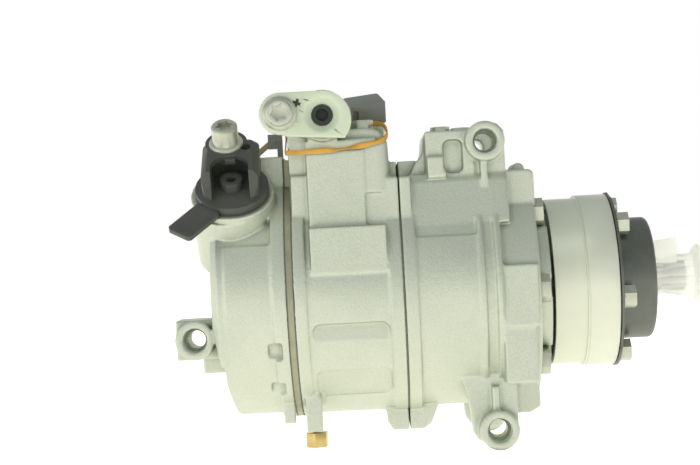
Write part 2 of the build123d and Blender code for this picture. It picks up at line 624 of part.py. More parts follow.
def shaft_cap():
    """Soft plastic cap over the stub: skirt on the hub, sleeve, end flange and a pull tab."""
    bore = cyl_x(SPLINE_R + 0.4, HUB_FACE_X - 1, HUB_FACE_X + 21.0)
    body = cyl_x(10.8, HUB_FACE_X + 5.0, HUB_FACE_X + 24.0)
    body += cyl_x(15.6, HUB_FACE_X + 24.0, HUB_FACE_X + 27.0)
    body += Pos(HUB_FACE_X + 4.1, 0, 0) * Rot(0, 90, 0) * Cone(13.6, 10.4, 7.8)
    body += around(block(HUB_FACE_X + 1.0, HUB_FACE_X + 14.0, -21.0, -8.0, -1.0, 1.0), 70.0)
    return body - bore


# ---- shipping caps ------------------------------------------------------------------------------
def torx_bolt(plane, seat, shank_r, shank_l, head_r, head_h, flange_r):
    """Flanged socket-head bolt in a plane: seat is the height of its underside."""
    head = Pos(0, 0, seat + 2.0 + head_h / 2) * Cylinder(head_r, head_h)
    head = chamfer(head.edges().sort_by(Axis.Z)[-1:], 0.9)
    flange = Pos(0, 0, seat + 1.0) * Cylinder(flange_r, 2.0)
    flange = chamfer(flange.edges().sort_by(Axis.Z)[-1:], 1.1)
    shank = Pos(0, 0, seat + 1 - (shank_l + 1) / 2) * Cylinder(shank_r, shank_l + 1)
    recess = Pos(0, 0, seat + 2.0 + head_h - 3.2) * Rot(0, 0, 14) * star_prism(4.6, 3.1, 4.0)
    return plane * ((head + flange + shank) - recess)


DISCHARGE_SEAT = 18.0  # top of the discharge cap's bridge, above the port's face


def discharge_cap():
    """Dark cap of the discharge port: disc, plug, pull tab, and the horseshoe that holds the bolt."""
    disc = Pos(0, 0, 2.3) * Cylinder(18.0, 4.2)
    disc += Pos(0, 0, -4) * (Cylinder(7.1, 9.0))
    walls = Pos(0, 6.0, 4.2) * extrude(RectangleRounded(28.0, 33.0, 5.0), DISCHARGE_SEAT - 4.2)
    walls = chamfer(walls.faces().sort_by(Axis.Z)[-1].edges(), 3.0)
    hollow = Pos(0, -3.0, 4.4) * extrude(RectangleRounded(18.6, 31.0, 6.0), 10.6)
    column = walls - hollow
    column -= Pos(0, -17.4, 14.5) * Rot(-19.9, 0, 0) * Box(40, 20, 40)
    column -= Pos(0, -12.0, 9.0) * Box(18.6, 20, 20)
    column -= Pos(0, -1.5, 12) * Cylinder(9.3, 14)
    ledge = Pos(PORT_BOLT[0], PORT_BOLT[1] + 1.0, 15.2) * Cylinder(10.4, 5.6)
    lip = Pos(0, 7.2, 15.0) * Box(5.0, 3.2, 3.0)
    post = Pos(0, 0, 6.0) * Cylinder(5.5, 6.0)
    tab = Rot(0, 0, 52.3) * Pos(-29.0, 0, 1.45) * Box(23.0, 14.0, 2.5)
    tab = fillet(tab.edges().filter_by(Axis.Z), 2.0)
    body = disc + column + ledge + lip + post + tab
    body -= Pos(PORT_BOLT[0], PORT_BOLT[1], 12) * Cylinder(4.2, 40)
    body -= Pos(0, 0, 8) * Cylinder(2.5, 8)
    body -= Pos(7.6, 13.6, 16) * Cylinder(2.5, 10)
    return PORT_PLANE * body


def suction_cap():
    """Milky cap of the suction port: two-lobed plate with a dished hole and a spigot."""
    big = (SUCTION[0], SUCTION[1] - 2.3)
    body = snowman_y(big, 14.0, SUCTION_BOLT, 10.1, PAD_Y - 6.5, PAD_Y - 0.1)
    left, right = SUCTION_BOLT[0] - 14.0, SUCTION[0] + 18.0
    below = [(left, 50.0), (left, SUCTION_BOLT[1] - 10.0), (right, SUCTION[1] - 12.2), (right, 50.0)]
    body -= prism_y(below, PAD_Y - 8.0, PAD_Y + 1.0)
    body += SUCTION_PLANE * Pos(0, 0, -4.6) * Cylinder(8.2, 9.4)
    dish = SUCTION_PLANE * Pos(0, 0, 4.6) * Cone(5.2, 8.9, 4.2)
    body -= dish
    body -= SUCTION_PLANE * Pos(0, 0, 0) * Cylinder(5.2, 20)
    body -= SUCTION_BOLT_PLANE * Cylinder(4.3, 20)
    cross = (LUG_X - 90.4, 94.6)
    for turn in (20.0, 110.0):
        arm = Pos(cross[0], PAD_Y - 4, cross[1]) * Rot(0, turn, 0) * Box(4.0, 8.4, 1.4)
        body -= arm
    return body


def suction_plug():
    """Rubber insert pushed into the suction cap's hole."""
    body = Pos(0, 0, -3.3) * Cylinder(5.1, 11.2)
    body -= Pos(0, 0, 1.4) * Cylinder(3.1, 6.0)
    return SUCTION_PLANE * body


# ---- control valve, relief valve and small parts --------------------------------------------------
def control_parts():
    """Solenoid control valve in its seat: cartridge, plunger, spring, coil can and electrical socket."""
    cartridge = Pos(0, 0, -14.9) * Cylinder(CONTROL_R, 25.6) - Pos(0, 0, -13.5) * Cylinder(3.4, 24.0)
    for z in (-6.0, -15.0, -23.0):
        cartridge -= Pos(0, 0, z) * (Cylinder(CONTROL_R + 1, 1.8) - Cylinder(CONTROL_R - 1.2, 3))
    rings = [Pos(0, 0, z) * Torus(CONTROL_R - 0.55, 0.62) for z in (-6.0, -15.0, -23.0)]
    plunger = Pos(0, 0, -12.4) * Cylinder(3.3 - SLIDE, 13.0)
    spring = Pos(0, 0, -25.4) * coil(6.4, 2.5, 0.35, 5)
    can = Pos(0, 0, 4.0) * Cylinder(11.8, 8.0)
    circlip = Pos(0, 0, -1.05) * (Cylinder(CONTROL_R + 0.05, 0.9) - Cylinder(4.0, 2))
    turned = Pos(3.0, -1.0, 13.4) * Rot(0, 0, 16)
    socket = turned * Pos(-1.2, 0, 0) * fillet(Box(18.6, 15.0, 10.8).edges().filter_by(Axis.Z), 1.6)
    socket -= turned * Pos(6.6, 0, 0.4) * Box(14.0, 11.0, 7.4)
    socket -= turned * Pos(-8.0, -7.6, -1.2) * Box(2.4, 3.0, 8.4)
    socket += turned * Pos(-8.8, 6.0, 2.0) * Box(2.6, 4.0, 4.0)
    pins = [turned * Pos(4.2, y, 0.4) * Box(8.4, 0.8, 2.4) for y in (-2.8, 2.8)]
    named = {
        "control_valve_cartridge": cartridge,
        "control_valve_plunger": plunger,
        "control_valve_spring": spring,
        "control_valve_coil_can": can,
        "control_valve_socket": socket,
    }
    shapes = {name: CONTROL_PLANE * shape for name, shape in named.items()}
    shapes["control_valve_seal_rings"] = [CONTROL_PLANE * ring for ring in rings]
    shapes["control_valve_washer"] = CONTROL_PLANE * circlip
    shapes["control_valve_pins"] = [CONTROL_PLANE * pin for pin in pins]
    return shapes


def relief_parts():
    """Pressure relief valve under the stub: hexagon body, ball and spring."""
    x, y = RELIEF
    body = Pos(x, y, RELIEF_SEAT_Z - 7.2) * Rot(0, 0, 22) * hex_prism(10.0, 7.2)
    body += cyl_z(3.0, RELIEF_SEAT_Z, -52, x, y)
    body -= cyl_z(1.9, RELIEF_SEAT_Z - 8, -56.0, x, y)
    body -= cyl_z(1.0, -58, -50, x, y)
    ball = Pos(x, y, -57.9) * Sphere(1.75)
    spring = Pos(x, y, -71.7) * coil(11.8, 1.35, 0.3, 9)
    stop = cyl_z(1.9, -74.3, -71.8, x, y) - cyl_z(0.8, -75, -71, x, y)
    return {
        "relief_valve_body": body,
        "relief_valve_ball": ball,
        "relief_valve_spring": spring,
        "relief_valve_stop": stop,
    }


def through_bolts():
    """Long housing bolts: hexagon heads on the front housing, threads in the rear one."""
    bolts = []
    for i in range(CYLINDERS):
        seat = STEP_X - SHORT_BY * (i in SHORT_BOLTS)
        shank = cyl_x(BOLT_R, HEAD_X - 19, seat + 0.5, y=-BOLT_CIRCLE_R)
        head = Pos(seat, -BOLT_CIRCLE_R, 0) * Rot(0, 90, 0) * hex_prism(12.0, 5.0)
        bolts.append(around(shank + head, FIRST_BOLT + STEP_ANGLE * i))
    return bolts


def top_plugs():
    """Hexagon plugs: one in the front housing's upper block and one in the tower."""
    upper = Pos(LUG_X - 20, -12, 78.5) * hex_prism(8.6, 3.6)
    upper += cyl_z(3.3, 66, 78.5, LUG_X - 20, -12)
    lower = Pos(LUG_X - 59.2, -27, 81.6) * hex_prism(9.2, 5.0)
    lower += cyl_z(4.0, 71, 82, LUG_X - 59.2, -27)
    return upper, lower


def rubber_band():
    """Flat elastic band round the tower's ridge, higher at the back and at its front end."""
    length, depth, width, thick = 55.2, 37.4, 2.2, 1.0
    tilt = Plane(origin=(LUG_X - 72.0, -35.7, 80.3), x_dir=(1, 0, 0.14), z_dir=(-0.14, -0.36, 1))
    outer = RectangleRounded(length, depth, 4.0)
    inner = RectangleRounded(length - 2 * thick, depth - 2 * thick, 3.0)
    return tilt * (extrude(outer, width) - extrude(inner, width))


def tie_parts():
    """Grey clip on the saddle with two round ends, and the tan strap that leaves it."""
    clip = block(LUG_X - 107.6, LUG_X - 100.4, -18, -12, 75.4, 82.6)
    clip += block(LUG_X - 103.0, LUG_X - 100.4, -18, -12, 70.8, 76.0)
    for x in (LUG_X - 104.6, LUG_X - 101.9):
        clip += cyl_y(1.1, -19.2, -18.0, x, 79.6)
    lean = Pos(LUG_X - 110.6, -15, 75.2) * Rot(0, -38, 0)
    strap = lean * Box(10.4, 3.0, 2.6)
    return clip, strap - clip


# ---- writing ------------------------------------------------------------------------------------
def write_castings_and_head():
    write("front_housing", front_housing())
    write("cylinder_block", cylinder_block())
    write("rear_housing", rear_housing())
    plate_x = HEAD_X + GASKET_T
    rear_gasket = head_disc(HEAD_X, plate_x, ((5.4, SUCTION_PORTS[1]),))
    write("head_gasket_rear", rear_gasket - cyl_x(29, HEAD_X - 1, BLOCK_X))
    write("discharge_reed", discharge_reed(plate_x - 0.3, plate_x))
    write("reed_stop", tube_x(16.0, 3.0, plate_x - 1.9, plate_x - 0.3))
    rivet = cyl_x(3.0, plate_x - 1.9, BLOCK_X - GASKET_T) + cyl_x(5.0, plate_x - 3.4, plate_x - 1.9)
    write("reed_rivet", rivet)
    valve_plate = head_disc(plate_x, BLOCK_X - GASKET_T, (DISCHARGE_PORTS, SUCTION_PORTS))
    write("valve_plate", valve_plate - cyl_x(3.0, HEAD_X, BLOCK_X))
    mid = FIRST_BOLT + STEP_ANGLE / 2
    write("suction_reeds", spread(suction_reed(BLOCK_X - GASKET_T, BLOCK_X - 0.2), first=mid))
    write("head_gasket_front", head_disc(BLOCK_X - GASKET_T, BLOCK_X, ((BORE_R, PITCH_R),)))
    write("case_gasket", ring_gasket(CASE_X, CASE_X + GASKET_T))
    write("through_bolts", through_bolts())
    write("pistons", spread(piston(), first=mid))
    pair = shoes()
    write("piston_shoes", spread(pair[0], first=mid) + spread(pair[1], first=mid))


def write_running_gear():
    write("shaft", shaft())
    write("lug_plate", lug_plate())
    write("swash_plate", swash_plate())
    write("hinge_pin", hinge_pin(2.2))
    write("swash_spring", Pos(SWASH_X + SWASH_T / 2 + 2.0, 0, 0) * Rot(0, 90, 0) * coil(7.0, 11.0, 1.0, 3))
    bearing_r = SHAFT_R + RUNNING
    write("rear_needle_bearing", needle_ring(LUG_X - 84, LUG_X - 66, 12.0, bearing_r, 16))
    write("front_needle_bearing", needle_ring(LUG_X + 10.6, LUG_X + 20.5, 12.0, bearing_r, 16))
    write("front_thrust_bearing", thrust_bearing(LUG_X + 2.0, LUG_X + 10.5, 24.0, 13.0, 18))
    write("shaft_seal", tube_x(15.0, bearing_r, LUG_X + 21.0, NOSE_X - 2.6))
    write("seal_retaining_ring", tube_x(16.2, 12.6, NOSE_X - 2.6, NOSE_X - 1.4))


def write_coupling():
    write("damper_drum", damper_drum())
    write("damper_rubber", rubber_ring())
    write("damper_sleeve", inner_flange())
    write("shaft_nut", shaft_nut())
    write("drive_plate", drive_plate())
    write("plate_bolts", spread(plate_bolt(), 6, PLATE_BOLT_1))
    write("drive_hub", drive_hub())
    write("spline_stub", spline_shaft())
    write("shaft_cap", shaft_cap())


def write_fittings():
    write("suction_cap", suction_cap())
    write("suction_plug", suction_plug())
    write("suction_cap_bolt", torx_bolt(SUCTION_BOLT_PLANE, 6.5, 3.9, 24.0, 6.5, 6.0, 8.3))
    write("discharge_cap", discharge_cap())
    bolt_plane = PORT_PLANE * Pos(PORT_BOLT[0], PORT_BOLT[1], 0)
    write("discharge_cap_bolt", torx_bolt(bolt_plane, DISCHARGE_SEAT, 3.9, 26.0, 6.5, 9.2, 8.4))
    for name, shape in {**control_parts(), **relief_parts()}.items():
        write(name, shape)
    upper, lower = top_plugs()
    write("housing_plug", upper)
    write("tower_plug", lower)
    write("rubber_band", rubber_band())
    clip, strap = tie_parts()
    write("tie_clip", clip)
    write("tie_strap", strap)


def main():
    os.makedirs("parts", exist_ok=True)
    write_castings_and_head()
    write_running_gear()
    write_coupling()
    write_fittings()


main()
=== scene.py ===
"""Looks of the vehicle air conditioning compressor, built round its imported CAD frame.

Metres, in the CAD's row frame: +X along the shaft towards the drive end, +Z up, origin at the hub's face.
"""

import json
import math

import bmesh
import bpy
from mathutils import Matrix, Vector, noise


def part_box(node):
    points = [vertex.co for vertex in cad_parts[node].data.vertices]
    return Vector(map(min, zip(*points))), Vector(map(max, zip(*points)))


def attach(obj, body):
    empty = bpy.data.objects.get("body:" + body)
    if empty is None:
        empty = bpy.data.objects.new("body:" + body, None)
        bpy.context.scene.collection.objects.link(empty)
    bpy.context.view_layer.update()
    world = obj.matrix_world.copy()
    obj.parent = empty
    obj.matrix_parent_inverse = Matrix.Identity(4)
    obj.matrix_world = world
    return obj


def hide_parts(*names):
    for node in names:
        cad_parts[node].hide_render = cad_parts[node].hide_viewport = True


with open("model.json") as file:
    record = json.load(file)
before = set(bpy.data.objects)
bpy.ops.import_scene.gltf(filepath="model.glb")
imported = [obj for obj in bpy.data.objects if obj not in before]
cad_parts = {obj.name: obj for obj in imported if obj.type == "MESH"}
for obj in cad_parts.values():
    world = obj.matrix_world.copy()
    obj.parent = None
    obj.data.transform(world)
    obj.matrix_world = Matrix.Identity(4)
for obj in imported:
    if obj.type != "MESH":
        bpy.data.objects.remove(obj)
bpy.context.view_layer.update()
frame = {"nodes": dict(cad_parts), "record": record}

MM = 0.001
NODES = frame["nodes"]


# ---- materials ----------------------------------------------------------------------------------
def new_material(name, colour, roughness, metallic=0.0):
    """Material with a plain principled shader; returns the material, its node tree and the shader."""
    material = bpy.data.materials.new(name)
    material.use_nodes = True
    shader = material.node_tree.nodes["Principled BSDF"]
    shader.inputs["Base Color"].default_value = (*colour, 1.0)
    shader.inputs["Roughness"].default_value = roughness
    shader.inputs["Metallic"].default_value = metallic
    material.diffuse_color = (*colour, 1.0)
    return material, material.node_tree, shader


def noise_field(tree, scale, detail=4.0, roughness=0.55):
    """Noise over the object's own coordinates; scale is in cycles per metre."""
    coordinates = tree.nodes.new("ShaderNodeTexCoord")
    field = tree.nodes.new("ShaderNodeTexNoise")
    field.inputs["Scale"].default_value = scale
    field.inputs["Detail"].default_value = detail
    field.inputs["Roughness"].default_value = roughness
    tree.links.new(coordinates.outputs["Object"], field.inputs["Vector"])
    return field.outputs["Fac"]


def hollows(tree, distance):
    """How open the surface is: 1 in the open, less in corners narrower than a distance."""
    field = tree.nodes.new("ShaderNodeAmbientOcclusion")
    field.samples = 8
    field.inputs["Distance"].default_value = distance
    return field.outputs["AO"]


def ramp(tree, factor, stops):
    """Colour ramp fed by a factor; stops are (position, colour)."""
    node = tree.nodes.new("ShaderNodeValToRGB")
    node.color_ramp.elements[0].position = stops[0][0]
    node.color_ramp.elements[0].color = (*stops[0][1], 1.0)
    node.color_ramp.elements[1].position = stops[-1][0]
    node.color_ramp.elements[1].color = (*stops[-1][1], 1.0)
    for position, colour in stops[1:-1]:
        node.color_ramp.elements.new(position).color = (*colour, 1.0)
    tree.links.new(factor, node.inputs["Fac"])
    return node.outputs["Color"]


def add_bump(tree, shader, height, distance, strength=0.5):
    """Bump from a height field; distance is in metres."""
    bump = tree.nodes.new("ShaderNodeBump")
    bump.inputs["Distance"].default_value = distance
    bump.inputs["Strength"].default_value = strength
    tree.links.new(height, bump.inputs["Height"])
    tree.links.new(bump.outputs["Normal"], shader.inputs["Normal"])


def multiply(tree, a, b):
    """Product of two colours."""
    node = tree.nodes.new("ShaderNodeMix")
    node.data_type = "RGBA"
    node.blend_type = "MULTIPLY"
    node.inputs["Factor"].default_value = 1.0
    tree.links.new(a, node.inputs["A"])
    tree.links.new(b, node.inputs["B"])
    return node.outputs["Result"]


def cast_alloy():
    """Die-cast aluminium: pale, softly shiny, with shade painted dark into its corners, and a fine sparkling
    grain.
    """
    material, tree, shader = new_material("cast_alloy", (0.74, 0.775, 0.65), 0.42, 0.65)
    broad = ramp(tree, noise_field(tree, 18.0), [(0.3, (0.655, 0.705, 0.60)), (0.72, (0.735, 0.775, 0.665))])
    specks = noise_field(tree, 1100.0, 3.0, 0.7)
    fine = ramp(tree, specks, [(0.36, (0.91, 0.92, 0.91)), (0.6, (1.0, 1.0, 1.0))])
    # painted shade: ambient occlusion darkens the base colour in narrow crevices, standing in for the shade
    # that falls there
    corners = ramp(tree, hollows(tree, 0.004), [(0.4, (0.42, 0.43, 0.38)), (0.9, (1.0, 1.0, 1.0))])
    tree.links.new(multiply(tree, multiply(tree, broad, fine), corners), shader.inputs["Base Color"])
    patches = ramp(tree, noise_field(tree, 60.0), [(0.3, (0.33, 0.33, 0.33)), (0.7, (0.46, 0.46, 0.46))])
    tree.links.new(patches, shader.inputs["Roughness"])
    add_bump(tree, shader, noise_field(tree, 900.0, 5.0, 0.7), 0.0005)
    return material


def coated(name, colour, roughness, metallic, grain, depth, change=0.06):
    """Finish with a slight tone change, a share of the colour, and a fine grain in the surface."""
    material, tree, shader = new_material(name, colour, roughness, metallic)
    dark = tuple(c * (1.0 - change) for c in colour)
    light = tuple(min(1.0, c * (1.0 + change)) for c in colour)
    tone = ramp(tree, noise_field(tree, 150.0), [(0.3, dark), (0.7, light)])
    tree.links.new(tone, shader.inputs["Base Color"])
    add_bump(tree, shader, noise_field(tree, grain), depth)
    return material


def milky(name, colour, weight, roughness):
    """Translucent white plastic."""
    material, tree, shader = new_material(name, colour, roughness)
    shader.inputs["Subsurface Weight"].default_value = weight
    shader.inputs["Subsurface Radius"].default_value = (1.0, 1.0, 0.8)
    shader.inputs["Subsurface Scale"].default_value = 0.004
    add_bump(tree, shader, noise_field(tree, 300.0), 0.0001, 0.4)
    return material


def film(name, colour):
    """Clear-white plastic film that lets part of the light through, with a faint painted glow of its own."""
    material, tree, shader = new_material(name, colour, 0.32)
    # painted light: the film emits a faint glow so that it looks as bright as thin plastic with light
    # passing through it
    shader.inputs["Emission Color"].default_value = (*colour, 1.0)
    shader.inputs["Emission Strength"].default_value = 0.14
    shader.inputs["Transmission Weight"].default_value = 0.4
    shader.inputs["IOR"].default_value = 1.12
    add_bump(tree, shader, noise_field(tree, 260.0), 0.0002)
    return material


MATERIALS = {
    "cast_alloy": cast_alloy(),
    "plate_steel": coated("plate_steel", (0.40, 0.40, 0.28), 0.4, 0.5, 800.0, 0.00005, 0.12),
    "gasket": coated("gasket", (0.2, 0.205, 0.18), 0.75, 0.0, 800.0, 0.00005),
    "machined_steel": coated("machined_steel", (0.55, 0.55, 0.53), 0.3, 0.9, 500.0, 0.00002),
    "zinc_bolt": coated("zinc_bolt", (0.60, 0.63, 0.53), 0.34, 0.75, 900.0, 0.00010, 0.12),
    "piston_alloy": coated("piston_alloy", (0.66, 0.66, 0.66), 0.3, 0.9, 500.0, 0.00002),
    "drum_steel": coated("drum_steel", (0.83, 0.865, 0.735), 0.36, 0.35, 900.0, 0.00004, 0.015),
    "charcoal_steel": coated("charcoal_steel", (0.175, 0.187, 0.17), 0.4, 0.6, 900.0, 0.00010, 0.08),
    "damper_rubber": coated("damper_rubber", (0.02, 0.02, 0.02), 0.7, 0.0, 700.0, 0.0001),
    "milky_plastic": milky("milky_plastic", (0.74, 0.83, 0.66), 0.35, 0.42),
    "film_plastic": film("film_plastic", (0.98, 0.985, 0.93)),
    "charcoal_plastic": coated("charcoal_plastic", (0.082, 0.088, 0.078), 0.4, 0.0, 900.0, 0.00012, 0.1),
    "dark_rubber": coated("dark_rubber", (0.03, 0.04, 0.035), 0.5, 0.0, 700.0, 0.0001),
    "connector_grey": coated("connector_grey", (0.26, 0.275, 0.25), 0.45, 0.0, 900.0, 0.0001),
    "contact_tin": coated("contact_tin", (0.6, 0.6, 0.56), 0.3, 0.9, 500.0, 0.00002),
    "relief_brass": coated("relief_brass", (0.66, 0.50, 0.20), 0.28, 0.85, 500.0, 0.00004, 0.1),
    "band_orange": coated("band_orange", (0.80, 0.41, 0.06), 0.5, 0.0, 500.0, 0.00004, 0.1),
    "tan_strap": coated("tan_strap", (0.50, 0.36, 0.16), 0.6, 0.0, 600.0, 0.0001, 0.1),
}
SLOT_OF = {s["node"]: s["material_slot"] for s in frame["record"]["subparts"]}


def dress(piece, slot):
    """Gives a mesh one material."""
    piece.data.materials.clear()
    piece.data.materials.append(MATERIALS[slot])


# ---- refining CAD pieces ------------------------------------------------------------------------
VOXEL = 0.00065
SMOOTHING_ROUNDS = 3
SHARE_KEPT = 0.4


def body_of(node):
    """Name of the CAD body that a node belongs to."""
    for body, members in frame["record"]["behaviour"]["bodies"].items():
        if node in members:
            return body
    return "housing"


def copy_of(node, name):
    """New object with a welded copy of a CAD node's mesh."""
    mesh = NODES[node].data.copy()
    mesh.name = name
    piece = bpy.data.objects.new(name, mesh)
    bpy.context.scene.collection.objects.link(piece)
    if mesh.has_custom_normals:
        with bpy.context.temp_override(object=piece, active_object=piece):
            bpy.ops.mesh.customdata_custom_splitnormals_clear()
    work = bmesh.new()
    work.from_mesh(mesh)
    bmesh.ops.remove_doubles(work, verts=work.verts, dist=0.000005)
    work.to_mesh(mesh)
    work.free()
    return piece


def apply_modifiers(piece):
    """Replaces a piece's mesh with what its modifiers make of it."""
    graph = bpy.context.evaluated_depsgraph_get()
    result = bpy.data.meshes.new_from_object(piece.evaluated_get(graph))
    old = piece.data
    piece.modifiers.clear()
    piece.data = result
    bpy.data.meshes.remove(old)


def stand_for(piece, node, smooth_angle=None):
    """Finishes a piece that takes the place of one CAD node; edges over an angle stay hard."""
    slot = SLOT_OF[node]
    dress(piece, slot)
    piece.data.shade_smooth()
    if smooth_angle is not None:
        piece.data.set_sharp_from_angle(angle=math.radians(smooth_angle))
    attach(piece, body_of(node))
    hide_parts(node)


def cast_piece(node):
    """Remeshes a CAD casting so that its edges and inner corners go soft, as cast."""
    piece = copy_of(node, node + "_cast")
    remesh = piece.modifiers.new("remesh", "REMESH")
    remesh.mode = "VOXEL"
    remesh.voxel_size = VOXEL
    smooth = piece.modifiers.new("smooth", "SMOOTH")
    smooth.factor = 0.5
    smooth.iterations = SMOOTHING_ROUNDS
    thin = piece.modifiers.new("thin", "DECIMATE")
    thin.ratio = SHARE_KEPT
    apply_modifiers(piece)
    stand_for(piece, node)


def softened(node, width):
    """Puts a copy with rounded edges in place of a CAD piece."""
    piece = copy_of(node, node + "_soft")
    bevel = piece.modifiers.new("bevel", "BEVEL")
    bevel.width = width
    bevel.segments = 2
    bevel.limit_method = "ANGLE"
    bevel.angle_limit = math.radians(32.0)
    bevel.use_clamp_overlap = True
    apply_modifiers(piece)
    stand_for(piece, node, 40.0)


for casting in ("front_housing", "cylinder_block", "rear_housing"):
    cast_piece(casting)
for node, width in (
    ("suction_cap", 0.7 * MM),
    ("discharge_cap", 0.45 * MM),
    ("damper_drum", 0.3 * MM),
    ("drive_plate", 0.3 * MM),
    ("plate_bolts", 0.3 * MM),
    ("suction_cap_bolt", 0.25 * MM),
    ("discharge_cap_bolt", 0.25 * MM),
    ("through_bolts", 0.3 * MM),
    ("relief_valve_body", 0.25 * MM),
    ("housing_plug", 0.3 * MM),
    ("tower_plug", 0.3 * MM),
    ("control_valve_socket", 0.4 * MM),
    ("control_valve_coil_can", 0.4 * MM),
):
    softened(node, width)


# ---- soft pieces made here ----------------------------------------------------------------------
def mesh_piece(name, rings, closed_ends):
    """Object from rings of points, each joined to the next; every ring is closed on itself."""
    work = bmesh.new()
    rows = [[work.verts.new(point) for point in ring] for ring in rings]
    count = len(rows[0])
    for row, after in zip(rows, rows[1:]):
        for k in range(count):
            work.faces.new((row[k], row[(k + 1) % count], after[(k + 1) % count], after[k]))
    if closed_ends:
        work.faces.new(list(reversed(rows[0])))
        work.faces.new(rows[-1])
    bmesh.ops.recalc_face_normals(work, faces=work.faces)
    mesh = bpy.data.meshes.new(name)
    work.to_mesh(mesh)
    work.free()
    piece = bpy.data.objects.new(name, mesh)
    bpy.context.scene.collection.objects.link(piece)
    return piece


def loop_points(points, per_span):
    """Points along a smooth closed curve through the given ones (Catmull-Rom)."""
    result = []
    count = len(points)
    for i in range(count):
        a, b, c, d = (Vector(points[(i + k - 1) % count]) for k in range(4))
        for step in range(per_span):
            t = step / per_span
            result.append(
                0.5
                * (
                    2 * b
                    + (c - a) * t
                    + (2 * a - 5 * b + 4 * c - d) * t * t
                    + (3 * b - a - 3 * c + d) * t * t * t
                )
            )
    return result


BAND_STEPS = 10  # points along the band between two points of its route
BAND_SIDES = 12  # points round its section
BAND_HALF_WIDTH = 1.18
BAND_HALF_THICKNESS = 0.34
TWIST_AT = 3.4  # where along the route, in points, the half twist sits


def elastic_band():
    """Flat orange band stretched round the tower, with a half twist in front, in place of the plain one."""
    low, high = (Vector(corner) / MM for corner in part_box("rubber_band"))
    front, back, left, right = low.y + 0.75, high.y - 0.5, low.x + 2.7, high.x - 3.4
    route = [
        (left + 0.4, front + 2.6, low.z + 0.7),
        (left + 3.4, front + 0.2, low.z + 0.3),
        (left + 15.0, front, low.z + 0.3),
        (left + 25.0, front, low.z + 0.6),
        (left + 34.0, front, low.z + 1.5),
        (left + 42.0, front + 0.2, low.z + 2.6),
        (right - 2.4, front + 1.8, low.z + 4.2),
        (right, front + 8.0, low.z + 7.4),
        (right - 0.1, front + 16.0, low.z + 10.0),
        (right - 1.4, back - 8.5, low.z + 12.9),
        (right - 5.0, back - 1.6, low.z + 14.4),
        (right - 14.0, back, low.z + 14.0),
        (left + 24.0, back, low.z + 13.0),
        (left + 8.0, back - 0.4, low.z + 11.4),
        (left + 0.6, back - 5.0, low.z + 10.2),
        (left, back - 14.0, low.z + 7.4),
        (left, front + 12.0, low.z + 3.2),
    ]
    middle = Vector((0.5 * (left + right), 0.5 * (front + back), 0.0))
    line = loop_points(route, BAND_STEPS)
    rings = []
    count = len(line)
    for k, place in enumerate(line):
        along = (line[(k + 1) % count] - line[k - 1]).normalized()
        outward = place - middle
        outward.z = 0.0
        outward = (outward - outward.dot(along) * along).normalized()
        across = along.cross(outward)
        in_front = math.exp(-(((k / BAND_STEPS) - TWIST_AT) ** 2) / 0.35)
        spin = math.radians(9.0 * math.sin(k * 0.21) + 62.0 * in_front)
        wide = across * math.cos(spin) + outward * math.sin(spin)
        thin = outward * math.cos(spin) - across * math.sin(spin)
        half_w = BAND_HALF_WIDTH + 0.14 * math.sin(k * 0.33) - 0.25 * in_front
        ring = []
        for turn in range(BAND_SIDES):
            angle = 2.0 * math.pi * turn / BAND_SIDES
            u = math.copysign(abs(math.cos(angle)) ** 0.5, math.cos(angle)) * half_w
            v = math.copysign(abs(math.sin(angle)) ** 0.7, math.sin(angle)) * BAND_HALF_THICKNESS
            ring.append((place + wide * u + thin * v) * MM)
        rings.append(ring)
    piece = mesh_piece("rubber_band_stretched", rings + [rings[0]], False)
    work = bmesh.new()
    work.from_mesh(piece.data)
    bmesh.ops.remove_doubles(work, verts=work.verts, dist=0.000001)
    work.to_mesh(piece.data)
    work.free()
    stand_for(piece, "rubber_band")


PLEATS = 15
FILM_STEPS = 210  # points round the sleeve
FLANGE_START = 24.0
SLEEVE_INSIDE = 7.75  # the pleats come no closer to the shaft's axis than this


def film_cap():
    """Thin crumpled plastic over the shaft stub: skirt on the hub, pleated sleeve, and a bowed flange."""
    stations = [
        # x, radius and depth of the pleats, outside; then back along the inside
        (0.25, 13.4, 0.8),
        (0.9, 12.9, 1.3),
        (2.2, 11.6, 1.9),
        (4.0, 10.2, 2.0),
        (6.0, 9.2, 1.1),
        (7.6, 9.0, 0.8),
        (9.5, 9.5, 1.3),
        (12.5, 10.1, 1.5),
        (15.5, 10.5, 1.3),
        (18.5, 10.8, 0.8),
        (21.0, 10.9, 0.25),
        (22.4, 11.1, 0.0),
        (23.0, 12.2, 0.0),
        (23.8, 13.8, 0.0),
        (24.9, 15.0, 0.0),
        (26.2, 15.6, 0.0),
        (26.7, 15.5, 0.0),
        (26.0, 14.6, 0.0),
        (25.2, 13.0, 0.0),
        (24.9, 10.6, 0.0),
        (24.8, 6.0, 0.0),
        (24.8, 1.5, 0.0),
    ]
    rings = []
    for x, radius, depth in stations:
        ring = []
        for k in range(FILM_STEPS):
            angle = 2.0 * math.pi * k / FILM_STEPS
            sway = 0.5 * math.sin(2 * angle + 0.2 * x) + 0.10 * x
            fold = abs(math.sin(0.5 * PLEATS * angle + sway)) ** 0.6
            crumple = noise.noise(Vector((math.cos(angle) * 2.4, math.sin(angle) * 2.4, x * 0.3)))
            r = radius - depth * (1.0 - fold) + 0.8 * depth * crumple
            r = max(r, SLEEVE_INSIDE) if x < FLANGE_START else r
            shift = 0.35 * depth * crumple
            ring.append(Vector((x + shift, r * math.cos(angle), r * math.sin(angle))) * MM)
        rings.append(ring)
    piece = mesh_piece("shaft_cap_film", rings, True)
    join_into(piece, film_fin())
    stand_for(piece, "shaft_cap", 38.0)


